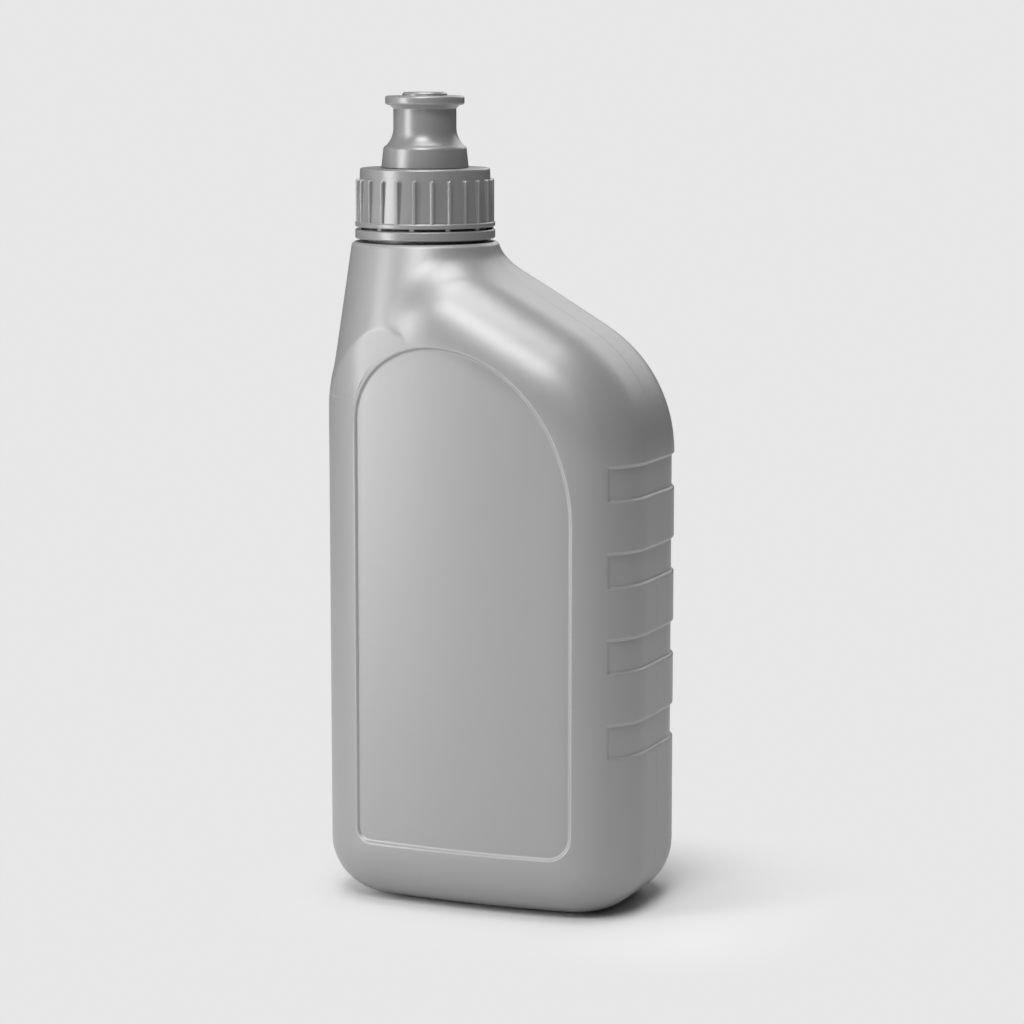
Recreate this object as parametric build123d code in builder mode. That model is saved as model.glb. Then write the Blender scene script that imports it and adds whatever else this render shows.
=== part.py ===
from build123d import *
from math import cos, radians, sin, tan
import os

# A one litre motor oil bottle with a push-pull spout on its screw cap. Millimetres, +Z up.
# The origin is on the floor under the middle of the body. The grip side faces +X and the two
# label faces -Y and +Y. The neck stands over the side away from the grip.

# Body, blow moulded
BODY_LENGTH = 103.4
BODY_DEPTH = 68.5
WALL = 1.1
FACE_CROWN_RADIUS = 274.0
RIM_RADIUS = 22.9
BASE_RADIUS = 17.8
NECK_FROM_SIDE = 26.2
COLLAR_HEIGHT = 203.1
COLLAR_RADIUS = 22.6
COLLAR_EDGE = 0.7

# Shoulder outline: the straight slope, its arc into the grip side, and the arch on the neck side
SHOULDER_SLOPE = 29.7
SHOULDER_ARC_RADIUS = 44.3
SHOULDER_OVER_COLLAR = 6.0
SHOULDER_START = 17.9
SHOULDER_START_RADIUS = 26.8
ARCH_BELOW_COLLAR = 50.7

# Neck flare, from the round collar down to the body: how far each side leans out per millimetre
FLARE_DEPTH = 46.4
FLARE_FRONT = 0.43
FLARE_GRIP_SIDE = 0.26
FLARE_NECK_SIDE = 0.09

# Label recesses, one on each face, placed from the body's sides and from the collar
LABEL_NECK_SIDE_MARGIN = 17.1
LABEL_GRIP_SIDE_MARGIN = 16.7
LABEL_BOTTOM = 20.1
LABEL_ARCH_FROM_NECK = 16.7
LABEL_BELOW_COLLAR = 30.1
LABEL_NECK_SIDE_RISE = 22.6
LABEL_GRIP_SIDE_RISE = 51.5
LABEL_NECK_SIDE_CORNER = 4.1
LABEL_GRIP_SIDE_CORNER = 6.7
LABEL_RECESS = 0.9
LABEL_BEVEL = 0.7

# Grip recesses round the narrow side
GRIP_COUNT = 4
GRIP_BELOW_COLLAR = 64.3
GRIP_ABOVE_FLOOR = 50.75
GRIP_HEIGHT = 9.9
GRIP_RECESS = 0.8
GRIP_LENGTH = 6.4
GRIP_BEVEL = 0.5

# Base dish and its pinch-off line
DISH_DEPTH = 1.5
DISH_MARGIN = 5.0
DISH_CORNER_SHARE = 0.35
PINCH_WIDTH = 0.8
PINCH_HEIGHT = 0.5
PINCH_MARGIN = 6.0

# Neck finish
FINISH_RADIUS = 17.4
FINISH_HEIGHT = 19.7
BORE_RADIUS = 15.3
LIP_EDGE = 0.4
THREAD_PITCH = 4.23
THREAD_DEPTH = 1.15
THREAD_ROOT_WIDTH = 2.4
THREAD_CREST_WIDTH = 1.0
THREAD_TURNS = 1.25
THREAD_BELOW_LIP = 4.0
THREAD_SINK = 0.3

# Tamper band, parted from the cap and held under the bead
BAND_GAP = 1.0
BAND_HEIGHT = 2.9
BAND_RADIUS = 21.6
BAND_WALL = 1.5
BAND_EDGE = 0.35
BEAD_HEIGHT = 1.5
BEAD_DEPTH = 1.5
BEAD_OVER_BAND = 0.6
BEAD_LAND = 0.5
FLAP_CLEARANCE = 0.35
FLAP_THICKNESS = 0.7
FLAP_RISE = 0.9

# Screw cap
CAP_SLIT = 0.75
CAP_RIM_RADIUS = 21.6
CAP_RIM_HEIGHT = 1.55
CAP_FOOT_RADIUS = 20.75
CAP_SHOULDER_RADIUS = 20.0
CAP_EDGE = 0.6
CAP_RIM_EDGE = 0.3
DECK_THICKNESS = 1.85
THREAD_CLEARANCE = 0.4
RIB_COUNT = 24
RIB_WIDTH = 1.2
RIB_RADIUS = 21.4
RIB_BELOW_DECK = 3.3
RIB_EDGE = 0.3
RIB_CORNER = 0.4
BRIDGE_COUNT = 12
BRIDGE_WIDTH = 1.3
BRIDGE_DEPTH = 0.8
BRIDGE_INSET = 0.35
BRIDGE_GAP = 0.2
BRIDGE_PHASE = 13.0

# Gasket in the cap
SEAL_THICKNESS = 1.0
SEAL_BORE = 11.8
SEAL_CLEARANCE = 0.3

# Spout chimney on the cap's deck, with the pin that closes the spout
CHIMNEY_RADIUS = 7.9
CHIMNEY_WALL = 1.3
CHIMNEY_HEIGHT = 15.6
CHIMNEY_ROOT = 0.8
CATCH_LIP = 0.5
CATCH_LIP_HEIGHT = 1.6
CATCH_LIP_EDGE = 0.4
PIN_RADIUS = 2.4
PIN_BELOW_TOP = 0.6
PIN_TIP = 0.4
SPOKE_COUNT = 3
SPOKE_WIDTH = 1.4
SPOKE_HEIGHT = 3.0
SPOKE_BELOW_TOP = 2.5
SPOKE_SINK = 0.4

# Push-pull nozzle, pushed shut
NOZZLE_HEIGHT = 23.1
NOZZLE_SEAT_GAP = 0.2
NOZZLE_CLEARANCE = 0.2
NOZZLE_TRAVEL = 6.0
SKIRT_RADIUS = 13.45
SKIRT_TOP_RADIUS = 12.8
SKIRT_HEIGHT = 6.2
SKIRT_WALL = 1.2
SKIRT_STEP = 1.1
SKIRT_EDGE = 0.3
FLARE_FOOT_HEIGHT = 7.1
WAIST_RADIUS = 9.7
WAIST_HEIGHT = 12.2
FLANGE_RADIUS = 12.2
FLANGE_THICKNESS = 2.8
FLANGE_EDGE = 0.8
FLANGE_ROOT = 1.1
BOSS_RADIUS = 6.9
BOSS_HEIGHT = 1.1
BOSS_EDGE = 0.5
ROOF_THICKNESS = 4.4
CATCH_RING_HEIGHT = 1.5
CATCH_PLAY = 0.4

ON_SURFACE = 0.001
LIP_SHARE = 0.9
NECK_X = NECK_FROM_SIDE - BODY_LENGTH / 2
NECK_AXIS = Axis((NECK_X, 0, 0), (0, 0, 1))
NECK_SECTION = Plane(origin=(NECK_X, 0, 0), x_dir=(1, 0, 0), z_dir=(0, -1, 0))
LIP_HEIGHT = COLLAR_HEIGHT + FINISH_HEIGHT
BAND_BOTTOM = COLLAR_HEIGHT + BAND_GAP
CAP_BOTTOM = BAND_BOTTOM + BAND_HEIGHT + CAP_SLIT
DECK_BOTTOM = LIP_HEIGHT + SEAL_THICKNESS
DECK_TOP = DECK_BOTTOM + DECK_THICKNESS
CHIMNEY_TOP = DECK_TOP + CHIMNEY_HEIGHT
CHIMNEY_BORE_RADIUS = CHIMNEY_RADIUS - CHIMNEY_WALL
CAP_BORE_RADIUS = FINISH_RADIUS + THREAD_DEPTH + THREAD_CLEARANCE
NOZZLE_BOTTOM = DECK_TOP + NOZZLE_SEAT_GAP
NOZZLE_TOP = DECK_TOP + NOZZLE_HEIGHT
NOZZLE_BORE_RADIUS = CHIMNEY_RADIUS + CATCH_LIP + NOZZLE_CLEARANCE


def crowned_plan(inset):
    """Horizontal section of the body, a rectangle with crowned label faces, drawn in the open sketch."""
    crown_centre = FACE_CROWN_RADIUS - BODY_DEPTH / 2
    Rectangle(BODY_LENGTH - 2 * inset, BODY_DEPTH)
    for side in (1, -1):
        with Locations((0, side * crown_centre)):
            Circle(FACE_CROWN_RADIUS - inset, mode=Mode.INTERSECT)


def body_form(inset):
    """The body without neck and recesses, with every face moved in by inset."""
    slope = radians(SHOULDER_SLOPE)
    wall_x = BODY_LENGTH / 2
    spring_z = COLLAR_HEIGHT - ARCH_BELOW_COLLAR
    start_x = NECK_X + SHOULDER_START
    start_z = COLLAR_HEIGHT + SHOULDER_OVER_COLLAR - tan(slope) * SHOULDER_START
    arc_x = wall_x - SHOULDER_ARC_RADIUS
    arc_z = start_z - tan(slope) * (arc_x - start_x) - SHOULDER_ARC_RADIUS / cos(slope)
    arc_start = (arc_x + SHOULDER_ARC_RADIUS * sin(slope), arc_z + SHOULDER_ARC_RADIUS * cos(slope))
    with BuildPart() as form:
        with BuildSketch(Plane.XZ):
            with BuildLine():
                TangentArc((-wall_x, spring_z), (start_x, start_z), tangent=(0, 1))
                straight = Line((start_x, start_z), arc_start)
                TangentArc(straight @ 1, (wall_x, arc_z), tangent=straight % 1)
                Polyline((wall_x, arc_z), (wall_x, 0), (-wall_x, 0), (-wall_x, spring_z))
            make_face()
            fillet(vertices().sort_by_distance((start_x, start_z))[0], SHOULDER_START_RADIUS)
            if inset:
                offset(amount=-inset)
        extrude(amount=BODY_DEPTH, both=True)
        with BuildSketch(Plane.XY):
            crowned_plan(inset)
        extrude(amount=2 * COLLAR_HEIGHT, mode=Mode.INTERSECT)
        along_outline = form.edges().filter_by(Axis.Y, reverse=True)
        rim = along_outline.filter_by(lambda edge: edge.bounding_box().max.Z > inset + RIM_RADIUS)
        fillet(rim, RIM_RADIUS - inset)
        fillet(form.faces().sort_by(Axis.Z)[0].edges(), BASE_RADIUS - inset)
    return form.part


def neck_flare(inset):
    """The leaning shoulder between the round collar and the body, with every face moved in by inset."""
    bottom = COLLAR_HEIGHT - FLARE_DEPTH
    neck_side = COLLAR_RADIUS + FLARE_NECK_SIDE * FLARE_DEPTH - inset
    grip_side = COLLAR_RADIUS + FLARE_GRIP_SIDE * FLARE_DEPTH - inset
    front = COLLAR_RADIUS + FLARE_FRONT * FLARE_DEPTH - inset
    with BuildPart() as flare:
        with BuildSketch(Plane.XY.offset(COLLAR_HEIGHT - inset)):
            with Locations((NECK_X, 0)):
                Circle(COLLAR_RADIUS - inset)
        with BuildSketch(Plane.XY.offset(bottom)):
            with Locations((NECK_X + (grip_side - neck_side) / 2, 0)):
                Ellipse((grip_side + neck_side) / 2, front)
        loft(ruled=True)
        with BuildSketch(Plane.XY.offset(bottom)):
            crowned_plan(inset)
            fillet(vertices(), RIM_RADIUS - inset)
        extrude(amount=FLARE_DEPTH, mode=Mode.INTERSECT)
    return flare.part


def label_block(outset):
    """A block through both faces with the outline of the label recess, grown by outset."""
    left = LABEL_NECK_SIDE_MARGIN - BODY_LENGTH / 2 - outset
    right = BODY_LENGTH / 2 - LABEL_GRIP_SIDE_MARGIN + outset
    bottom = LABEL_BOTTOM - outset
    top = COLLAR_HEIGHT - LABEL_BELOW_COLLAR + outset
    left_spring = COLLAR_HEIGHT - LABEL_BELOW_COLLAR - LABEL_NECK_SIDE_RISE
    right_spring = COLLAR_HEIGHT - LABEL_BELOW_COLLAR - LABEL_GRIP_SIDE_RISE
    arch_x = NECK_X + LABEL_ARCH_FROM_NECK
    with BuildPart() as block:
        with BuildSketch(Plane.XZ):
            with BuildLine():
                Polyline((left, left_spring), (left, bottom), (right, bottom), (right, right_spring))
                EllipticalCenterArc(
                    (arch_x, right_spring), right - arch_x, top - right_spring, start_angle=0, arc_size=90,
                )
                EllipticalCenterArc(
                    (arch_x, left_spring), arch_x - left, top - left_spring, start_angle=90, arc_size=90,
                )
            make_face()
            fillet(vertices().group_by(Axis.Y)[0].sort_by(Axis.X)[0], LABEL_NECK_SIDE_CORNER + outset)
            fillet(vertices().group_by(Axis.Y)[0].sort_by(Axis.X)[-1], LABEL_GRIP_SIDE_CORNER + outset)
        extrude(amount=BODY_DEPTH, both=True)
    return block.part


def grip_blocks(outset):
    """Slabs across the grip side at the heights of the grip recesses, each grown by outset."""
    pitch = (COLLAR_HEIGHT - GRIP_BELOW_COLLAR - GRIP_HEIGHT - GRIP_ABOVE_FLOOR) / (GRIP_COUNT - 1)
    with BuildPart() as blocks:
        for row in range(GRIP_COUNT):
            with BuildSketch(Plane.XY.offset(GRIP_ABOVE_FLOOR + row * pitch - outset)):
                with Locations((BODY_LENGTH / 2, 0)):
                    Rectangle(2 * (GRIP_LENGTH + outset), 2 * BODY_DEPTH)
            extrude(amount=GRIP_HEIGHT + 2 * outset)
    return blocks.part


def dish_block(outset):
    """The shallow dish under the base, with its pinch-off line left standing, grown by outset."""
    foot_length = BODY_LENGTH - 2 * (BASE_RADIUS + DISH_MARGIN)
    foot_depth = BODY_DEPTH - 2 * (BASE_RADIUS + DISH_MARGIN)
    with BuildPart() as dish:
        with BuildSketch(Plane.XY):
            RectangleRounded(foot_length, foot_depth, DISH_CORNER_SHARE * foot_depth)
            if outset:
                offset(amount=outset)
        extrude(amount=DISH_DEPTH + outset)
        if not outset:
            with BuildSketch(Plane.XY.offset(DISH_DEPTH)):
                Rectangle(foot_length - 2 * PINCH_MARGIN, PINCH_WIDTH)
            extrude(amount=-PINCH_HEIGHT, mode=Mode.SUBTRACT)
    return dish.part


def lip_edges(skin, cutter, recess_floor, depth):
    """The edges round the mouth of a recess: they lie on its cutter, a recess depth above its floor."""
    return skin.edges().filter_by(
        lambda edge: cutter.distance_to(edge @ 0.5) < ON_SURFACE
        and recess_floor.distance_to(edge @ 0.5) > depth * LIP_SHARE
    )


def moulded_skin(inset):
    """The whole blown surface below the neck finish, moved in by inset: outside at 0, inside at WALL."""
    label_floor = body_form(inset + LABEL_RECESS)
    grip_floor = body_form(inset + GRIP_RECESS)
    with BuildPart() as label_cut:
        add(label_block(inset))
        add(label_floor, mode=Mode.SUBTRACT)
    with BuildPart() as grip_cut:
        add(grip_blocks(inset))
        add(grip_floor, mode=Mode.SUBTRACT)
    with BuildPart() as flare_above_label:
        add(neck_flare(inset))
        add(label_block(inset + 2 * LABEL_BEVEL), mode=Mode.SUBTRACT)
    with BuildPart() as skin:
        add(body_form(inset))
        add(label_cut.part, mode=Mode.SUBTRACT)
        if not inset:
            chamfer(lip_edges(skin, label_cut.part, label_floor, LABEL_RECESS), LABEL_BEVEL)
        add(grip_cut.part, mode=Mode.SUBTRACT)
        if not inset:
            chamfer(lip_edges(skin, grip_cut.part, grip_floor, GRIP_RECESS), GRIP_BEVEL)
        add(flare_above_label.part)
        add(dish_block(inset), mode=Mode.SUBTRACT)
    return skin.part


def thread_ridge(root_radius, crest_radius, start_height):
    """A right-handed helical ridge round the neck axis, its root sunk into the wall that carries it."""
    flank = (THREAD_ROOT_WIDTH - THREAD_CREST_WIDTH) / 2
    depth = crest_radius - root_radius
    sink = THREAD_SINK * depth / abs(depth)
    with BuildPart() as ridge:
        with BuildLine():
            helix = Helix(THREAD_PITCH, THREAD_PITCH * THREAD_TURNS, root_radius, (NECK_X, 0, start_height))
        with BuildSketch(Plane(origin=helix @ 0, x_dir=(1, 0, 0), z_dir=helix % 0)):
            Polygon(
                (-sink, -THREAD_ROOT_WIDTH / 2), (0, -THREAD_ROOT_WIDTH / 2),
                (depth, flank - THREAD_ROOT_WIDTH / 2), (depth, THREAD_ROOT_WIDTH / 2 - flank),
                (0, THREAD_ROOT_WIDTH / 2), (-sink, THREAD_ROOT_WIDTH / 2), align=None,
            )
        sweep(path=helix, is_frenet=True)
    return ridge.part


neck_thread_start = LIP_HEIGHT - THREAD_BELOW_LIP - THREAD_PITCH * THREAD_TURNS
outside = moulded_skin(0)
inside = moulded_skin(WALL)
neck_thread = thread_ridge(FINISH_RADIUS, FINISH_RADIUS + THREAD_DEPTH, neck_thread_start)
cap_thread = thread_ridge(CAP_BORE_RADIUS, CAP_BORE_RADIUS - THREAD_DEPTH, neck_thread_start - THREAD_PITCH / 2)

# Bottle: the blown skin, the neck finish on its collar, and the thread
bead_bottom = BAND_BOTTOM + BAND_HEIGHT - BEAD_OVER_BAND
with BuildPart() as bottle:
    add(outside)
    chamfer(bottle.edges().filter_by(GeomType.CIRCLE).sort_by(Axis.Z)[-1], COLLAR_EDGE)
    with BuildSketch(NECK_SECTION):
        with BuildLine():
            Polyline(
                (0, COLLAR_HEIGHT - 2 * WALL), (FINISH_RADIUS, COLLAR_HEIGHT - 2 * WALL),
                (FINISH_RADIUS, bead_bottom), (FINISH_RADIUS + BEAD_DEPTH, bead_bottom),
                (FINISH_RADIUS + BEAD_DEPTH, bead_bottom + BEAD_LAND),
                (FINISH_RADIUS, bead_bottom + BEAD_LAND + BEAD_HEIGHT),
                (FINISH_RADIUS, LIP_HEIGHT), (0, LIP_HEIGHT), close=True,
            )
        make_face()
    revolve(axis=NECK_AXIS)
    add(neck_thread)
    add(inside, mode=Mode.SUBTRACT)
    with BuildSketch(Plane.XY.offset(LIP_HEIGHT)):
        with Locations((NECK_X, 0)):
            Circle(BORE_RADIUS)
    extrude(amount=-FINISH_HEIGHT - 2 * WALL, mode=Mode.SUBTRACT)
    chamfer(bottle.edges().group_by(Axis.Z)[-1], LIP_EDGE)

# Tamper band: a plain ring with a sprung flap that catches under the neck bead
band_bore = BAND_RADIUS - BAND_WALL
flap_tip = FINISH_RADIUS + FLAP_CLEARANCE
with BuildPart() as tamper_band:
    with BuildSketch(NECK_SECTION):
        with BuildLine():
            Polyline(
                (band_bore, BAND_BOTTOM), (BAND_RADIUS, BAND_BOTTOM),
                (BAND_RADIUS, BAND_BOTTOM + BAND_HEIGHT), (band_bore, BAND_BOTTOM + BAND_HEIGHT),
                (band_bore, BAND_BOTTOM + FLAP_THICKNESS),
                (flap_tip, BAND_BOTTOM + FLAP_THICKNESS + FLAP_RISE),
                (flap_tip, BAND_BOTTOM + FLAP_RISE), close=True,
            )
        make_face()
        chamfer(vertices().group_by(Axis.X)[-1], BAND_EDGE)
    revolve(axis=NECK_AXIS)

# Gasket: a flat ring between the lip and the deck
with BuildPart() as cap_seal:
    with BuildSketch(Plane.XY.offset(LIP_HEIGHT)):
        with Locations((NECK_X, 0)):
            Circle(CAP_BORE_RADIUS - SEAL_CLEARANCE)
            Circle(SEAL_BORE, mode=Mode.SUBTRACT)
    extrude(amount=SEAL_THICKNESS)

# One grip rib of the cap, with its corners taken off at the top
rib_foot = CAP_BOTTOM + CAP_RIM_HEIGHT / 2
rib_top = DECK_TOP - RIB_BELOW_DECK
with BuildPart() as rib:
    with BuildSketch(Plane.YZ.offset(CAP_BORE_RADIUS + THREAD_CLEARANCE)):
        with Locations((0, (rib_foot + rib_top) / 2)):
            Rectangle(RIB_WIDTH, rib_top - rib_foot)
        chamfer(vertices().group_by(Axis.Y)[-1], RIB_CORNER)
    extrude(amount=RIB_RADIUS - CAP_BORE_RADIUS - THREAD_CLEARANCE)
    chamfer(rib.faces().sort_by(Axis.X)[-1].edges(), RIB_EDGE)

# Screw cap: skirt, deck and spout chimney, turned as one section, then ribs, thread, pin and bridges
spoke_top = CHIMNEY_TOP - SPOKE_BELOW_TOP
with BuildPart() as screw_cap:
    with BuildSketch(NECK_SECTION):
        with BuildLine():
            Polyline(
                (CAP_BORE_RADIUS, CAP_BOTTOM), (CAP_RIM_RADIUS, CAP_BOTTOM),
                (CAP_RIM_RADIUS, CAP_BOTTOM + CAP_RIM_HEIGHT), (CAP_FOOT_RADIUS, CAP_BOTTOM + CAP_RIM_HEIGHT),
                (CAP_SHOULDER_RADIUS, DECK_TOP), (CHIMNEY_RADIUS, DECK_TOP),
                (CHIMNEY_RADIUS, CHIMNEY_TOP - CATCH_LIP_HEIGHT),
                (CHIMNEY_RADIUS + CATCH_LIP, CHIMNEY_TOP - CATCH_LIP_HEIGHT),
                (CHIMNEY_RADIUS + CATCH_LIP, CHIMNEY_TOP), (CHIMNEY_BORE_RADIUS, CHIMNEY_TOP),
                (CHIMNEY_BORE_RADIUS, DECK_BOTTOM), (CAP_BORE_RADIUS, DECK_BOTTOM), close=True,
            )
        make_face()
        fillet(vertices().sort_by_distance((CAP_SHOULDER_RADIUS, DECK_TOP))[0], CAP_EDGE)
        bevelled = {
            (CHIMNEY_RADIUS, DECK_TOP): CHIMNEY_ROOT,
            (CAP_RIM_RADIUS, CAP_BOTTOM): CAP_RIM_EDGE,
            (CAP_RIM_RADIUS, CAP_BOTTOM + CAP_RIM_HEIGHT): CAP_RIM_EDGE,
            (CHIMNEY_RADIUS + CATCH_LIP, CHIMNEY_TOP): CATCH_LIP_EDGE,
        }
        for corner, size in bevelled.items():
            chamfer(vertices().sort_by_distance(corner)[0], size)
    revolve(axis=NECK_AXIS)
    with Locations((NECK_X, 0)):
        with PolarLocations(0, RIB_COUNT):
            add(rib.part)
    add(cap_thread)
    with BuildSketch(Plane.XY.offset(spoke_top - SPOKE_HEIGHT)):
        with Locations((NECK_X, 0)):
            Circle(PIN_RADIUS)
    extrude(amount=NOZZLE_TOP - PIN_BELOW_TOP - spoke_top + SPOKE_HEIGHT)
    chamfer(screw_cap.faces().sort_by(Axis.Z)[-1].edges(), PIN_TIP)
    with BuildSketch(Plane.XY.offset(spoke_top - SPOKE_HEIGHT)):
        with Locations((NECK_X, 0)):
            with PolarLocations((CHIMNEY_BORE_RADIUS + PIN_RADIUS) / 2, SPOKE_COUNT):
                Rectangle(CHIMNEY_BORE_RADIUS - PIN_RADIUS + 2 * SPOKE_SINK, SPOKE_WIDTH)
    extrude(amount=SPOKE_HEIGHT)
    with BuildSketch(Plane.XY.offset(CAP_BOTTOM)):
        with Locations((NECK_X, 0)):
            with PolarLocations(CAP_RIM_RADIUS - BRIDGE_INSET - BRIDGE_DEPTH / 2, BRIDGE_COUNT, BRIDGE_PHASE):
                Rectangle(BRIDGE_DEPTH, BRIDGE_WIDTH)
    extrude(amount=BRIDGE_GAP - CAP_SLIT)

# Nozzle: skirt over the chimney, waist, pulling flange and orifice lip, turned as one section
flange_bottom = NOZZLE_TOP - BOSS_HEIGHT - FLANGE_THICKNESS
roof_bottom = NOZZLE_TOP - ROOF_THICKNESS
catch_top = CHIMNEY_TOP - CATCH_LIP_HEIGHT - CATCH_PLAY - NOZZLE_TRAVEL
catch_bore = CHIMNEY_RADIUS + NOZZLE_CLEARANCE
orifice = PIN_RADIUS + NOZZLE_CLEARANCE
skirt_top = DECK_TOP + SKIRT_HEIGHT
with BuildPart() as nozzle:
    with BuildSketch(NECK_SECTION):
        with BuildLine():
            Polyline(
                (WAIST_RADIUS, DECK_TOP + WAIST_HEIGHT), (WAIST_RADIUS, flange_bottom),
                (FLANGE_RADIUS, flange_bottom), (FLANGE_RADIUS, NOZZLE_TOP - BOSS_HEIGHT),
                (BOSS_RADIUS, NOZZLE_TOP - BOSS_HEIGHT), (BOSS_RADIUS, NOZZLE_TOP),
                (orifice, NOZZLE_TOP), (orifice, roof_bottom), (NOZZLE_BORE_RADIUS, roof_bottom),
                (NOZZLE_BORE_RADIUS, catch_top), (catch_bore, catch_top),
                (catch_bore, catch_top - CATCH_RING_HEIGHT),
                (SKIRT_TOP_RADIUS - SKIRT_WALL, skirt_top - SKIRT_WALL),
                (SKIRT_RADIUS - SKIRT_WALL, NOZZLE_BOTTOM), (SKIRT_RADIUS, NOZZLE_BOTTOM),
                (SKIRT_TOP_RADIUS, skirt_top),
                (SKIRT_TOP_RADIUS - SKIRT_STEP, DECK_TOP + FLARE_FOOT_HEIGHT),
            )
            TangentArc(
                (WAIST_RADIUS, DECK_TOP + WAIST_HEIGHT),
                (SKIRT_TOP_RADIUS - SKIRT_STEP, DECK_TOP + FLARE_FOOT_HEIGHT), tangent=(0, -1),
            )
        make_face()
        for height in (flange_bottom, NOZZLE_TOP - BOSS_HEIGHT):
            fillet(vertices().sort_by_distance((FLANGE_RADIUS, height))[0], FLANGE_EDGE)
        bevelled = {
            (WAIST_RADIUS, flange_bottom): FLANGE_ROOT,
            (BOSS_RADIUS, NOZZLE_TOP): BOSS_EDGE,
            (SKIRT_TOP_RADIUS, skirt_top): SKIRT_EDGE,
        }
        for corner, size in bevelled.items():
            chamfer(vertices().sort_by_distance(corner)[0], size)
    revolve(axis=NECK_AXIS)

pieces = {
    "bottle": bottle, "tamper_band": tamper_band, "cap_seal": cap_seal, "screw_cap": screw_cap, "nozzle": nozzle,
}
os.makedirs("parts", exist_ok=True)
for name, piece in pieces.items():
    piece.part.label = name
    export_step(piece.part, f"parts/{name}.step")
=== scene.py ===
"""Looks of a one litre motor oil bottle with a push-pull spout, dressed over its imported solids."""

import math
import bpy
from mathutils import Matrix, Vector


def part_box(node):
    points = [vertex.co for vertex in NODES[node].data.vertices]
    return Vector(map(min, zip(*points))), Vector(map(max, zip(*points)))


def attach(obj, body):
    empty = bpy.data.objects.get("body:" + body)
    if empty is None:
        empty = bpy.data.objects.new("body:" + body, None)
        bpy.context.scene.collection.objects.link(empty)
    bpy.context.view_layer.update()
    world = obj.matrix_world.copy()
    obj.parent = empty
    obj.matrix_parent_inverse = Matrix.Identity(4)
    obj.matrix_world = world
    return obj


bl_info = {
    "name": "Motor Oil Bottle",
    "version": (1, 0, 0),
    "blender": (4, 5, 0),
    "location": "View3D > Sidebar > Oil Bottle",
    "description": "Finishes, studio and camera for a blow-moulded oil bottle with a push-pull spout",
    "category": "Object",
}

import bmesh
import bpy
from bpy.props import FloatProperty, FloatVectorProperty, IntProperty, PointerProperty
from bpy.types import Operator, Panel, PropertyGroup
from mathutils import Matrix, Vector

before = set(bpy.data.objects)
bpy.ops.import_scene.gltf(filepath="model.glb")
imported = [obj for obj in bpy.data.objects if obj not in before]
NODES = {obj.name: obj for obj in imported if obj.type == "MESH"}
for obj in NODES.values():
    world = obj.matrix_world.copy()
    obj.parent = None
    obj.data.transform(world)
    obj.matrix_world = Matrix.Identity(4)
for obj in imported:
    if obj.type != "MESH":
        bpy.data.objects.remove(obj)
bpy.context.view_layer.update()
BOTTLE_LOW, BOTTLE_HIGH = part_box("bottle")

# Ring of the shoulder's skin: x of the upright axis that it is spun round, and its faces up and round
SHOULDER_MIDDLE = -0.020
SHOULDER_ROWS = 56
SHOULDER_COLUMNS = 320
SMOOTH_FACTOR = 0.5

# Lower rim of that skin: an arch a margin outside the label's, on a face this far from the middle plane.
# Beside the arch's foot the rim drops, over a share of the arch's reach.
FACE_DEPTH = 0.034
ARCH_MIDDLE = -0.0088
ARCH_FOOT = 0.1504
ARCH_REACH = 0.0282
ARCH_RISE = 0.0252
BESIDE_ARCH = 0.15
BESIDE_ARCH_DROP = 0.009
LEAST_DEPTH = 1e-6

# Plastics: noise scales a metre, relief in metres, and how far tone and gloss vary
GRAIN_DETAIL = 3.0
BROAD_SCALE, BROAD_DETAIL, BROAD_ROUGHNESS, BROAD_SHARE = 22.0, 3.0, 0.55, 0.65
STREAK_SCALE, STREAK_STRETCH, STREAK_SHARE = 160.0, 0.12, 0.35
BODY_GRAIN_SIZE = 1400.0
CAP_GRAIN_SIZE, CAP_GRAIN_HEIGHT = 1800.0, 0.000012
FOAM_GRAIN_SIZE, FOAM_GRAIN_HEIGHT = 2600.0, 0.00006
FOAM_ROUGHNESS = 0.7
PLASTIC_SPREAD, FOAM_SPREAD, GLOSS_SPREAD = 0.05, 0.08, 0.05
PLASTIC_IOR = 1.5

# Softened edges: rays a sample, and the cosines of the bend where an edge's painted highlight sets in and
# where it is lightest
EDGE_SAMPLES = 8
BEND_START, BEND_FULL = 0.998, 0.93

# Parting line: its strength, its relief in metres, and the share of its width that is full height
SEAM_STRENGTH, SEAM_RELIEF, SEAM_CORE = 0.6, 0.00012, 0.25

# Studio: height that the lamps aim at, the floor's side and paint, the fill's colour, and the share of the
# bottle's foot from whose rim the shadow is measured
AIM_HEIGHT = 0.12
FLOOR_SIDE = 60.0
FLOOR_PAINT = (0.745, 0.745, 0.745, 1.0)
WHITE = (1.0, 1.0, 1.0, 1.0)
FOOT_SHARE = 0.8

# Camera: width of its sensor in millimetres, and how near and how far it sees in metres
SENSOR_WIDTH = 36.0
CAMERA_NEAR, CAMERA_FAR = 0.05, 100.0

# Softboxes: degrees to the camera's left, degrees up, distance, width and height in metres, watts
SOFTBOXES = (
    ("Key softbox", 65.0, 14.0, 0.85, 0.27, 0.74, 4.2),
    ("Side softbox", 100.0, 14.0, 1.6, 0.4, 0.9, 1.0),
    ("High softbox", 12.0, 52.0, 1.6, 0.7, 0.5, 12.3),
    ("Overhead softbox", -10.0, 87.0, 1.6, 1.0, 1.0, 17.0),
    ("Rear softbox", -156.0, 30.0, 1.6, 1.4, 0.9, 6.5),
)


# Settings that a user would change


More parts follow.
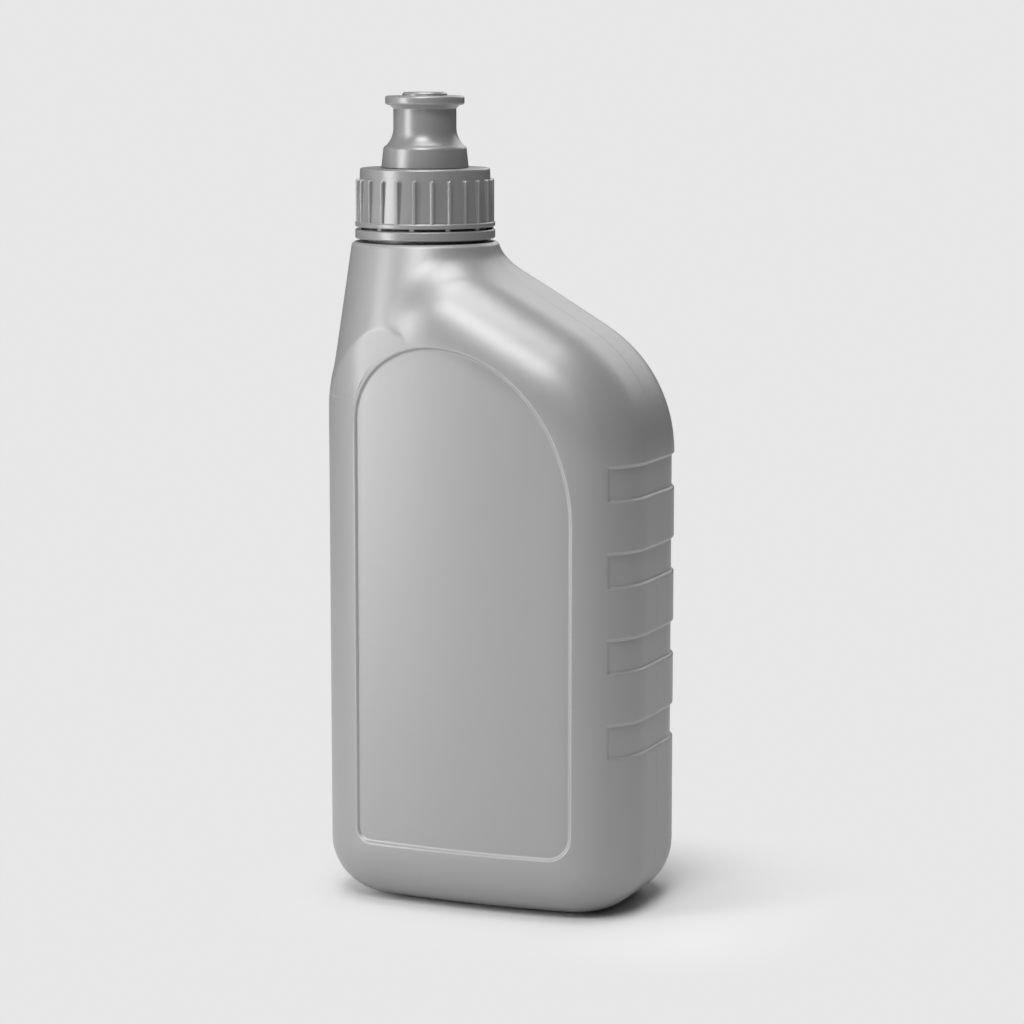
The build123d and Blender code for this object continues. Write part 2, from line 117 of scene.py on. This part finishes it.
class BottlePlasticSettings(PropertyGroup):
    """Moulded polyethylene of the bottle."""

    color: FloatVectorProperty(
        name="Body colour", description="Silver grey pigment of the blown body",
        subtype="COLOR", size=3, min=0.0, max=1.0, default=(0.34, 0.34, 0.34),
    )
    roughness: FloatProperty(
        name="Body roughness", description="Satin of the blown surface", min=0.0, max=1.0, default=0.4,
    )
    metallic: FloatProperty(
        name="Body silver", description="Share of metal flake in the pigment", min=0.0, max=1.0, default=0.28,
    )
    edge_radius: FloatProperty(
        name="Edge softness", description="Radius that moulding leaves on the body's edges",
        min=0.0, max=0.01, default=0.0009, precision=5, unit="LENGTH",
    )
    # Painted highlight: how much lighter the body's edges and creases are painted
    edge_highlight: FloatProperty(
        name="Painted edge highlight", description="How much lighter the body's edges are",
        min=0.0, max=2.0, default=0.45,
    )
    grain: FloatProperty(
        name="Mould grain", description="Height of the fine mould texture",
        min=0.0, max=0.001, default=0.00002, precision=6, unit="LENGTH",
    )
    seam: FloatProperty(
        name="Seam width", description="Width of the mould's parting line round the narrow sides",
        min=0.0001, max=0.002, default=0.00045, precision=5, unit="LENGTH",
    )


class ShoulderSettings(PropertyGroup):
    """Skin that eases the crease between the neck and the shoulder."""

    high: FloatProperty(
        name="Highest height", description="Where the skin ends, under the collar",
        min=0.15, max=0.21, default=0.2012, precision=4, unit="LENGTH",
    )
    fade_low: FloatProperty(
        name="Fade at the bottom", description="Height over which the easing sets in",
        min=0.001, max=0.03, default=0.008, precision=4, unit="LENGTH",
    )
    fade_high: FloatProperty(
        name="Fade at the top", description="Height over which the easing dies out",
        min=0.001, max=0.03, default=0.003, precision=4, unit="LENGTH",
    )
    rounds: IntProperty(
        name="Easing rounds", description="How far the crease is eased", min=0, max=30, default=16,
    )
    passes: IntProperty(
        name="Passes a round", description="Smoothing passes in each round", min=1, max=200, default=40,
    )
    lift: FloatProperty(
        name="Lift", description="How far the skin lies over the solid",
        min=0.0, max=0.001, default=0.00003, precision=6, unit="LENGTH",
    )


class CapPlasticSettings(PropertyGroup):
    """Injection moulded polypropylene of the cap, the band and the spout."""

    color: FloatVectorProperty(
        name="Cap colour", description="Grey pigment of the cap, the band and the spout",
        subtype="COLOR", size=3, min=0.0, max=1.0, default=(0.30, 0.30, 0.30),
    )
    roughness: FloatProperty(
        name="Cap roughness", description="Satin of the moulded surface", min=0.0, max=1.0, default=0.34,
    )
    metallic: FloatProperty(
        name="Cap silver", description="Share of metal flake in the pigment", min=0.0, max=1.0, default=0.3,
    )
    edge_radius: FloatProperty(
        name="Edge softness", description="Radius that moulding leaves on the cap's edges",
        min=0.0, max=0.01, default=0.00025, precision=5, unit="LENGTH",
    )
    # Painted highlight: how much lighter the cap's edges and creases are painted
    edge_highlight: FloatProperty(
        name="Painted edge highlight", description="How much lighter the cap's edges are",
        min=0.0, max=2.0, default=0.35,
    )
    liner_color: FloatVectorProperty(
        name="Liner colour", description="Foamed gasket inside the cap",
        subtype="COLOR", size=3, min=0.0, max=1.0, default=(0.78, 0.78, 0.76),
    )


class StudioSettings(PropertyGroup):
    """Floor, lamps and camera."""

    floor_color: FloatVectorProperty(
        name="Floor colour", description="Pale floor and background",
        subtype="COLOR", size=3, min=0.0, max=1.0, default=(0.799, 0.799, 0.799),
    )
    world_strength: FloatProperty(
        name="Fill", description="Even light from all round", min=0.0, max=3.0, default=0.04,
    )
    lamp_gain: FloatProperty(
        name="Lamp gain", description="Scales all the softboxes together", min=0.0, max=10.0, default=1.0,
    )
    shadow_reach: FloatProperty(
        name="Shadow reach", description="How far from the foot the floor still shows a shadow",
        min=0.001, max=1.0, default=0.06, precision=3, unit="LENGTH",
    )
    shadow_shift: FloatProperty(
        name="Shadow shift", description="How far that region is moved to the side away from the key",
        min=-0.2, max=0.2, default=0.022, precision=3, unit="LENGTH",
    )
    lens: FloatProperty(
        name="Lens", description="Focal length on a 36 mm sensor",
        min=20.0, max=300.0, default=115.3, unit="CAMERA",
    )
    camera_distance: FloatProperty(
        name="Camera distance", description="Along the floor, from the point that it circles",
        min=0.3, max=5.0, default=1.0029, unit="LENGTH",
    )
    camera_height: FloatProperty(
        name="Camera height", description="Above the floor", min=0.0, max=3.0, default=0.2656, unit="LENGTH",
    )
    camera_turn: FloatProperty(
        name="Camera turn", description="Turned round from the label face towards the grip side",
        min=-math.pi, max=math.pi, default=0.396, subtype="ANGLE", unit="ROTATION",
    )
    camera_tilt: FloatProperty(
        name="Camera tilt", description="Looking down", min=-1.5, max=1.5, default=0.144, subtype="ANGLE",
        unit="ROTATION",
    )
    camera_centre: FloatProperty(
        name="Camera centre", description="X of the point that the camera circles", min=-1.0, max=1.0,
        default=0.0035, precision=4, unit="LENGTH",
    )


# Shader nodes and groups


def new_group(name, inputs, outputs):
    """An empty shader node group with named inputs and outputs, returning it and its two end nodes."""
    group = bpy.data.node_groups.new(name, "ShaderNodeTree")
    for label, kind, default in inputs:
        item = group.interface.new_socket(name=label, in_out="INPUT", socket_type=kind)
        if default is not None:
            item.default_value = default
    for label, kind in outputs:
        group.interface.new_socket(name=label, in_out="OUTPUT", socket_type=kind)
    return group, group.nodes.new("NodeGroupInput"), group.nodes.new("NodeGroupOutput")


def math_node(tree, operation, first, second=None, clamp=False):
    """A math node with its inputs linked or set, returning its output."""
    node = tree.nodes.new("ShaderNodeMath")
    node.operation = operation
    node.use_clamp = clamp
    for index, value in enumerate((first, second)):
        if value is None:
            continue
        if isinstance(value, (int, float)):
            node.inputs[index].default_value = value
        else:
            tree.links.new(value, node.inputs[index])
    return node.outputs[0]


def noise_node(tree, vector, scale, detail=2.0, roughness=0.5):
    """A noise texture on the given vector, returning its factor."""
    node = tree.nodes.new("ShaderNodeTexNoise")
    node.inputs["Scale"].default_value = scale
    node.inputs["Detail"].default_value = detail
    node.inputs["Roughness"].default_value = roughness
    tree.links.new(vector, node.inputs["Vector"])
    return node.outputs["Fac"]


def ramp(tree, value, low, high, out_low=0.0, out_high=1.0):
    """Maps a value smoothly from one range to another, returning the result."""
    node = tree.nodes.new("ShaderNodeMapRange")
    node.interpolation_type = "SMOOTHSTEP"
    for name, number in (("From Min", low), ("From Max", high), ("To Min", out_low), ("To Max", out_high)):
        node.inputs[name].default_value = number
    tree.links.new(value, node.inputs["Value"])
    return node.outputs["Result"]


def moulded_surface_group():
    """Fine mould grain and faint handling marks, as a height, a tone and a roughness share."""
    group, start, end = new_group(
        "Moulded surface",
        [
            ("Vector", "NodeSocketVector", None),
            ("Grain size", "NodeSocketFloat", BODY_GRAIN_SIZE),
            ("Tone spread", "NodeSocketFloat", PLASTIC_SPREAD),
            ("Gloss spread", "NodeSocketFloat", GLOSS_SPREAD),
        ],
        [("Height", "NodeSocketFloat"), ("Tone", "NodeSocketFloat"), ("Gloss", "NodeSocketFloat")],
    )
    vector = start.outputs["Vector"]
    grain = group.nodes.new("ShaderNodeTexNoise")
    grain.inputs["Detail"].default_value = GRAIN_DETAIL
    group.links.new(vector, grain.inputs["Vector"])
    group.links.new(start.outputs["Grain size"], grain.inputs["Scale"])
    group.links.new(grain.outputs["Fac"], end.inputs["Height"])
    broad = noise_node(group, vector, BROAD_SCALE, BROAD_DETAIL, BROAD_ROUGHNESS)
    streak_map = group.nodes.new("ShaderNodeMapping")
    streak_map.inputs["Scale"].default_value = (1.0, 1.0, STREAK_STRETCH)
    group.links.new(vector, streak_map.inputs["Vector"])
    streak = noise_node(group, streak_map.outputs["Vector"], STREAK_SCALE)
    broad_part = math_node(group, "MULTIPLY", broad, BROAD_SHARE)
    streak_part = math_node(group, "MULTIPLY", streak, STREAK_SHARE)
    mixed = math_node(group, "ADD", broad_part, streak_part)
    centred = math_node(group, "SUBTRACT", mixed, 0.5)
    tone = math_node(group, "ADD", math_node(group, "MULTIPLY", centred, start.outputs["Tone spread"]), 1.0)
    group.links.new(tone, end.inputs["Tone"])
    gloss = math_node(group, "MULTIPLY", centred, start.outputs["Gloss spread"])
    group.links.new(gloss, end.inputs["Gloss"])


def softened_edges_group():
    """Edges that moulding rounds, as a normal, and a painted highlight that makes edges and creases lighter,
    as a tone.
    """
    group, start, end = new_group(
        "Softened edges and painted highlight",
        [("Radius", "NodeSocketFloat", 0.0), ("Painted highlight", "NodeSocketFloat", 0.0)],
        [("Normal", "NodeSocketVector"), ("Tone", "NodeSocketFloat")],
    )
    rounded = group.nodes.new("ShaderNodeBevel")
    rounded.samples = EDGE_SAMPLES
    group.links.new(start.outputs["Radius"], rounded.inputs["Radius"])
    group.links.new(rounded.outputs["Normal"], end.inputs["Normal"])
    surface = group.nodes.new("ShaderNodeNewGeometry")
    bend = group.nodes.new("ShaderNodeVectorMath")
    bend.operation = "DOT_PRODUCT"
    group.links.new(rounded.outputs["Normal"], bend.inputs[0])
    group.links.new(surface.outputs["Normal"], bend.inputs[1])
    on_edge = ramp(group, bend.outputs["Value"], BEND_START, BEND_FULL)
    # Painted highlight: the more the rounded normal bends away from the surface's, the lighter the tone
    painted_highlight = math_node(group, "MULTIPLY", on_edge, start.outputs["Painted highlight"])
    group.links.new(math_node(group, "ADD", painted_highlight, 1.0), end.inputs["Tone"])


def principled(name):
    """A new material with a bare Principled BSDF, returning the material, its tree and the shader."""
    material = bpy.data.materials.new(name)
    material.use_nodes = True
    tree = material.node_tree
    return material, tree, tree.nodes["Principled BSDF"]


def place_group(tree, name, values):
    """A shader node group placed in a material with its own values, returning the node."""
    node = tree.nodes.new("ShaderNodeGroup")
    node.node_tree = bpy.data.node_groups[name]
    for label, value in values.items():
        node.inputs[label].default_value = value
    return node


def moulded_material(
    name, color, roughness, metallic, grain_size, grain_height, tone_spread, edge_radius, edge_highlight,
):
    """A moulded plastic: pigment with a painted highlight that lightens its edges, satin roughness, fine
    grain and softened edges.
    """
    material, tree, shader = principled(name)
    place = tree.nodes.new("ShaderNodeTexCoord")
    surface = place_group(tree, "Moulded surface", {
        "Grain size": grain_size, "Tone spread": tone_spread, "Gloss spread": GLOSS_SPREAD,
    })
    tree.links.new(place.outputs["Object"], surface.inputs["Vector"])
    edges = place_group(tree, "Softened edges and painted highlight", {"Radius": edge_radius, "Painted highlight": edge_highlight})
    pigment = tree.nodes.new("ShaderNodeHueSaturation")
    pigment.inputs["Color"].default_value = (*color, 1.0)
    # Pigment tone: the random mottling times the edges' painted highlight
    tone = math_node(tree, "MULTIPLY", surface.outputs["Tone"], edges.outputs["Tone"])
    tree.links.new(tone, pigment.inputs["Value"])
    tree.links.new(pigment.outputs["Color"], shader.inputs["Base Color"])
    satin = math_node(tree, "ADD", surface.outputs["Gloss"], roughness, clamp=True)
    tree.links.new(satin, shader.inputs["Roughness"])
    bump = tree.nodes.new("ShaderNodeBump")
    bump.inputs["Strength"].default_value = 1.0
    bump.inputs["Distance"].default_value = grain_height
    tree.links.new(surface.outputs["Height"], bump.inputs["Height"])
    tree.links.new(edges.outputs["Normal"], bump.inputs["Normal"])
    tree.links.new(bump.outputs["Normal"], shader.inputs["Normal"])
    shader.inputs["IOR"].default_value = PLASTIC_IOR
    shader.inputs["Metallic"].default_value = metallic
    return material, tree, shader, place, bump


def dress(node, material):
    """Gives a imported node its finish, in place of the plain one it came with."""
    slots = NODES[node].data.materials
    slots.clear()
    slots.append(material)


# Operators, one for each piece or group of like pieces and one for the stage


class OILBOTTLE_OT_body_finish(Operator):
    """Satin grey blown plastic on the bottle, with its mould's parting line"""

    bl_idname = "oilbottle.body_finish"
    bl_label = "Bottle finish"

    def execute(self, context):
        look = context.scene.oilbottle_body
        # The body's edges get a painted highlight besides their rounding
        material, tree, shader, place, bump = moulded_material(
            "Blown polyethylene", look.color, look.roughness, look.metallic,
            BODY_GRAIN_SIZE, look.grain, PLASTIC_SPREAD, look.edge_radius, look.edge_highlight,
        )
        separate = tree.nodes.new("ShaderNodeSeparateXYZ")
        tree.links.new(place.outputs["Object"], separate.inputs["Vector"])
        off_middle = math_node(tree, "ABSOLUTE", separate.outputs["Y"])
        seam = ramp(tree, off_middle, look.seam * SEAM_CORE, look.seam, 1.0, 0.0)
        seam_bump = tree.nodes.new("ShaderNodeBump")
        seam_bump.inputs["Strength"].default_value = SEAM_STRENGTH
        seam_bump.inputs["Distance"].default_value = SEAM_RELIEF
        tree.links.new(seam, seam_bump.inputs["Height"])
        tree.links.new(bump.outputs["Normal"], seam_bump.inputs["Normal"])
        tree.links.new(seam_bump.outputs["Normal"], shader.inputs["Normal"])
        dress("bottle", material)
        return {"FINISHED"}


class OILBOTTLE_OT_shoulder(Operator):
    """Soft skin over the shoulder that carries the neck into it without a crease"""

    bl_idname = "oilbottle.shoulder"
    bl_label = "Shoulder"

    def execute(self, context):
        settings = context.scene.oilbottle_shoulder
        mesh = bpy.data.meshes.new("Shoulder_skin")
        skin = bpy.data.objects.new("Shoulder_skin", mesh)
        context.scene.collection.objects.link(skin)
        work = bmesh.new()
        reach = BOTTLE_HIGH.x - BOTTLE_LOW.x
        ends = [work.verts.new((SHOULDER_MIDDLE + reach, 0.0, share)) for share in (0.0, 1.0)]
        line = work.edges.new(ends)
        bmesh.ops.subdivide_edges(work, edges=[line], cuts=SHOULDER_ROWS - 1)
        bmesh.ops.spin(
            work, geom=work.verts[:] + work.edges[:], cent=(SHOULDER_MIDDLE, 0.0, 0.0), axis=(0.0, 0.0, 1.0),
            angle=math.tau, steps=SHOULDER_COLUMNS, use_merge=True,
        )
        bmesh.ops.recalc_face_normals(work, faces=work.faces[:])
        for vertex in work.verts:
            low = self.lowest(vertex.co)
            vertex.co.z = low + vertex.co.z * (settings.high - low)
        for face in work.faces:
            face.smooth = True
        work.to_mesh(mesh)
        work.free()
        self.weigh(skin, settings)
        self.ease(skin, settings)
        mesh.materials.append(NODES["bottle"].data.materials[0])
        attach(skin, "body")
        return {"FINISHED"}

    def lowest(self, place):
        """Height of the skin's lower rim, which keeps outside the label's arch on both faces."""
        depth = max(abs(place.y), LEAST_DEPTH)
        on_face = SHOULDER_MIDDLE + (place.x - SHOULDER_MIDDLE) / depth * FACE_DEPTH
        off_arch = (on_face - ARCH_MIDDLE) / ARCH_REACH
        beside = min(1.0, max(0.0, (-1.0 - off_arch) / BESIDE_ARCH))
        off_arch = max(-1.0, min(0.0, off_arch))
        rise = ARCH_RISE * math.sqrt(1.0 - off_arch * off_arch)
        return ARCH_FOOT + rise - BESIDE_ARCH_DROP * beside

    def weigh(self, skin, settings):
        """Weights that keep both rims of the skin on the solid."""
        easing = skin.vertex_groups.new(name="Easing")
        rims = skin.vertex_groups.new(name="Rims")
        for vertex in skin.data.vertices:
            from_low = (vertex.co.z - self.lowest(vertex.co)) / settings.fade_low
            from_high = (settings.high - vertex.co.z) / settings.fade_high
            share = max(0.0, min(1.0, from_low, from_high))
            easing.add([vertex.index], share, "REPLACE")
            rims.add([vertex.index], 1.0 - share, "REPLACE")

    def ease(self, skin, settings):
        """Wraps the ring on the bottle, then smooths it in rounds, never letting it sink into the solid."""
        wrap = skin.modifiers.new("Wrap", "SHRINKWRAP")
        wrap.target = NODES["bottle"]
        wrap.wrap_method = "PROJECT"
        wrap.wrap_mode = "ABOVE_SURFACE"
        wrap.use_negative_direction = True
        wrap.use_positive_direction = True
        wrap.offset = settings.lift
        for number in range(settings.rounds):
            smooth = skin.modifiers.new("Smooth %d" % number, "SMOOTH")
            smooth.factor = SMOOTH_FACTOR
            smooth.iterations = settings.passes
            smooth.vertex_group = "Easing"
            keep = skin.modifiers.new("Keep %d" % number, "SHRINKWRAP")
            keep.target = NODES["bottle"]
            keep.wrap_method = "NEAREST_SURFACEPOINT"
            keep.wrap_mode = "OUTSIDE"
            keep.offset = settings.lift
        shading = skin.modifiers.new("Rim shading", "DATA_TRANSFER")
        shading.object = NODES["bottle"]
        shading.use_loop_data = True
        shading.data_types_loops = {"CUSTOM_NORMAL"}
        shading.loop_mapping = "POLYINTERP_NEAREST"
        shading.vertex_group = "Rims"


class OILBOTTLE_OT_cap_finish(Operator):
    """Satin grey moulded plastic on the cap, the band and the spout, and the liner's foam"""

    bl_idname = "oilbottle.cap_finish"
    bl_label = "Cap and spout finish"

    def execute(self, context):
        look = context.scene.oilbottle_cap
        # The cap's edges get a painted highlight besides their rounding; the liner's get none
        plastic = moulded_material(
            "Moulded polypropylene", look.color, look.roughness, look.metallic,
            CAP_GRAIN_SIZE, CAP_GRAIN_HEIGHT, PLASTIC_SPREAD, look.edge_radius, look.edge_highlight,
        )[0]
        for node in ("screw_cap", "tamper_band", "nozzle"):
            dress(node, plastic)
        foam = moulded_material(
            "Foamed liner", look.liner_color, FOAM_ROUGHNESS, 0.0,
            FOAM_GRAIN_SIZE, FOAM_GRAIN_HEIGHT, FOAM_SPREAD, look.edge_radius, 0.0,
        )[0]
        dress("cap_seal", foam)
        return {"FINISHED"}


def area_lamp(name, target, azimuth, elevation, distance, width, height, power):
    """A rectangular softbox on a circle round the target, placed by its angles from the camera's side."""
    data = bpy.data.lights.new(name, "AREA")
    data.shape = "RECTANGLE"
    data.size, data.size_y = width, height
    data.energy = power
    lamp = bpy.data.objects.new(name, data)
    bpy.context.scene.collection.objects.link(lamp)
    turned = bpy.context.scene.oilbottle_studio.camera_turn - math.radians(azimuth)
    rise = math.radians(elevation)
    way = Vector((
        math.sin(turned) * math.cos(rise), -math.cos(turned) * math.cos(rise), math.sin(rise),
    ))
    lamp.location = target + way * distance
    lamp.rotation_euler = way.to_track_quat("Z", "Y").to_euler()


class OILBOTTLE_OT_studio(Operator):
    """Pale floor and background, softboxes, and the camera of the photograph"""

    bl_idname = "oilbottle.studio"
    bl_label = "Studio"

    def execute(self, context):
        scene = context.scene
        studio = scene.oilbottle_studio
        scene.view_settings.view_transform = "Standard"
        aim = Vector((0.0, 0.0, AIM_HEIGHT))
        for name, azimuth, elevation, distance, width, height, power in SOFTBOXES:
            area_lamp(name, aim, azimuth, elevation, distance, width, height, power * studio.lamp_gain)
        self.make_floor(studio)
        self.make_world(scene, studio)
        self.make_camera(scene, studio)
        return {"FINISHED"}

    def make_floor(self, studio):
        """A wide painted floor that takes the background's colour where it shows no shadow."""
        bpy.ops.mesh.primitive_grid_add(x_subdivisions=4, y_subdivisions=4, size=FLOOR_SIDE)
        floor = bpy.context.object
        floor.name = "Studio_floor"
        material = bpy.data.materials.new("Pale floor")
        material.use_nodes = True
        tree = material.node_tree
        tree.nodes.clear()
        out = tree.nodes.new("ShaderNodeOutputMaterial")
        paint = tree.nodes.new("ShaderNodeBsdfDiffuse")
        paint.inputs["Color"].default_value = FLOOR_PAINT
        glow = tree.nodes.new("ShaderNodeEmission")
        glow.inputs["Color"].default_value = (*studio.floor_color, 1.0)
        far = ramp(tree, self.distance_from_foot(tree, studio), 0.0, studio.shadow_reach)
        seen = tree.nodes.new("ShaderNodeLightPath")
        share = math_node(tree, "MULTIPLY", far, seen.outputs["Is Camera Ray"])
        mix = tree.nodes.new("ShaderNodeMixShader")
        tree.links.new(share, mix.inputs["Fac"])
        tree.links.new(paint.outputs["BSDF"], mix.inputs[1])
        tree.links.new(glow.outputs["Emission"], mix.inputs[2])
        tree.links.new(mix.outputs["Shader"], out.inputs["Surface"])
        floor.data.materials.append(material)

    def distance_from_foot(self, tree, studio):
        """How far a floor point lies outside the bottle's foot, moved over to the side that is in shade."""
        foot = (BOTTLE_HIGH - BOTTLE_LOW) / 2
        turn = studio.camera_turn
        shift = studio.shadow_shift
        place = tree.nodes.new("ShaderNodeTexCoord")
        split = tree.nodes.new("ShaderNodeSeparateXYZ")
        tree.links.new(place.outputs["Object"], split.inputs["Vector"])
        outside = tree.nodes.new("ShaderNodeCombineXYZ")
        sides = (("X", foot.x, shift * math.cos(turn)), ("Y", foot.y, shift * math.sin(turn)))
        for axis, half, middle in sides:
            off = math_node(tree, "ABSOLUTE", math_node(tree, "SUBTRACT", split.outputs[axis], middle))
            past = math_node(tree, "SUBTRACT", off, half * FOOT_SHARE)
            tree.links.new(math_node(tree, "MAXIMUM", past, 0.0), outside.inputs[axis])
        length = tree.nodes.new("ShaderNodeVectorMath")
        length.operation = "LENGTH"
        tree.links.new(outside.outputs["Vector"], length.inputs[0])
        return length.outputs["Value"]

    def make_world(self, scene, studio):
        """A faint even fill, and the floor's colour wherever the camera sees past the floor."""
        world = bpy.data.worlds.new("Studio world")
        scene.world = world
        world.use_nodes = True
        tree = world.node_tree
        tree.nodes.clear()
        out = tree.nodes.new("ShaderNodeOutputWorld")
        fill = tree.nodes.new("ShaderNodeBackground")
        fill.inputs["Color"].default_value = WHITE
        fill.inputs["Strength"].default_value = studio.world_strength
        wall = tree.nodes.new("ShaderNodeBackground")
        wall.inputs["Color"].default_value = (*studio.floor_color, 1.0)
        seen = tree.nodes.new("ShaderNodeLightPath")
        mix = tree.nodes.new("ShaderNodeMixShader")
        tree.links.new(seen.outputs["Is Camera Ray"], mix.inputs["Fac"])
        tree.links.new(fill.outputs["Background"], mix.inputs[1])
        tree.links.new(wall.outputs["Background"], mix.inputs[2])
        tree.links.new(mix.outputs["Shader"], out.inputs["Surface"])

    def make_camera(self, scene, studio):
        """The photograph's camera, on a circle round the bottle."""
        turn, tilt = studio.camera_turn, studio.camera_tilt
        data = bpy.data.cameras.new("Camera")
        data.sensor_width = SENSOR_WIDTH
        data.lens = studio.lens
        data.clip_start, data.clip_end = CAMERA_NEAR, CAMERA_FAR
        camera = bpy.data.objects.new("Camera", data)
        scene.collection.objects.link(camera)
        right = Vector((math.cos(turn), math.sin(turn), 0.0))
        ahead = Vector((-math.sin(turn) * math.cos(tilt), math.cos(turn) * math.cos(tilt), -math.sin(tilt)))
        up = right.cross(ahead)
        place = Matrix((right, up, -ahead)).transposed().to_4x4()
        place.translation = Vector((
            studio.camera_centre + studio.camera_distance * math.sin(turn),
            -studio.camera_distance * math.cos(turn),
            studio.camera_height,
        ))
        camera.matrix_world = place
        scene.camera = camera


class OILBOTTLE_PT_panel(Panel):
    """Lists the bottle's steps and their settings"""

    bl_idname = "OILBOTTLE_PT_panel"
    bl_label = "Oil Bottle"
    bl_space_type = "VIEW_3D"
    bl_region_type = "UI"
    bl_category = "Oil Bottle"

    def draw(self, context):
        layout = self.layout
        for settings, operator in (
            (context.scene.oilbottle_body, "oilbottle.body_finish"),
            (context.scene.oilbottle_shoulder, "oilbottle.shoulder"),
            (context.scene.oilbottle_cap, "oilbottle.cap_finish"),
            (context.scene.oilbottle_studio, "oilbottle.studio"),
        ):
            box = layout.box()
            for name in settings.__annotations__:
                box.prop(settings, name)
            box.operator(operator)


CLASSES = (
    BottlePlasticSettings, ShoulderSettings, CapPlasticSettings, StudioSettings, OILBOTTLE_OT_body_finish,
    OILBOTTLE_OT_shoulder, OILBOTTLE_OT_cap_finish, OILBOTTLE_OT_studio, OILBOTTLE_PT_panel,
)


def register():
    for cls in CLASSES:
        bpy.utils.register_class(cls)
    bpy.types.Scene.oilbottle_body = PointerProperty(type=BottlePlasticSettings)
    bpy.types.Scene.oilbottle_shoulder = PointerProperty(type=ShoulderSettings)
    bpy.types.Scene.oilbottle_cap = PointerProperty(type=CapPlasticSettings)
    bpy.types.Scene.oilbottle_studio = PointerProperty(type=StudioSettings)


def unregister():
    del bpy.types.Scene.oilbottle_studio
    del bpy.types.Scene.oilbottle_cap
    del bpy.types.Scene.oilbottle_shoulder
    del bpy.types.Scene.oilbottle_body
    for cls in reversed(CLASSES):
        bpy.utils.unregister_class(cls)


def main():
    """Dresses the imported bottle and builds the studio."""
    register()
    moulded_surface_group()
    softened_edges_group()
    bpy.ops.oilbottle.body_finish()
    bpy.ops.oilbottle.shoulder()
    bpy.ops.oilbottle.cap_finish()
    bpy.ops.oilbottle.studio()


if __name__ == "__main__":
    main()
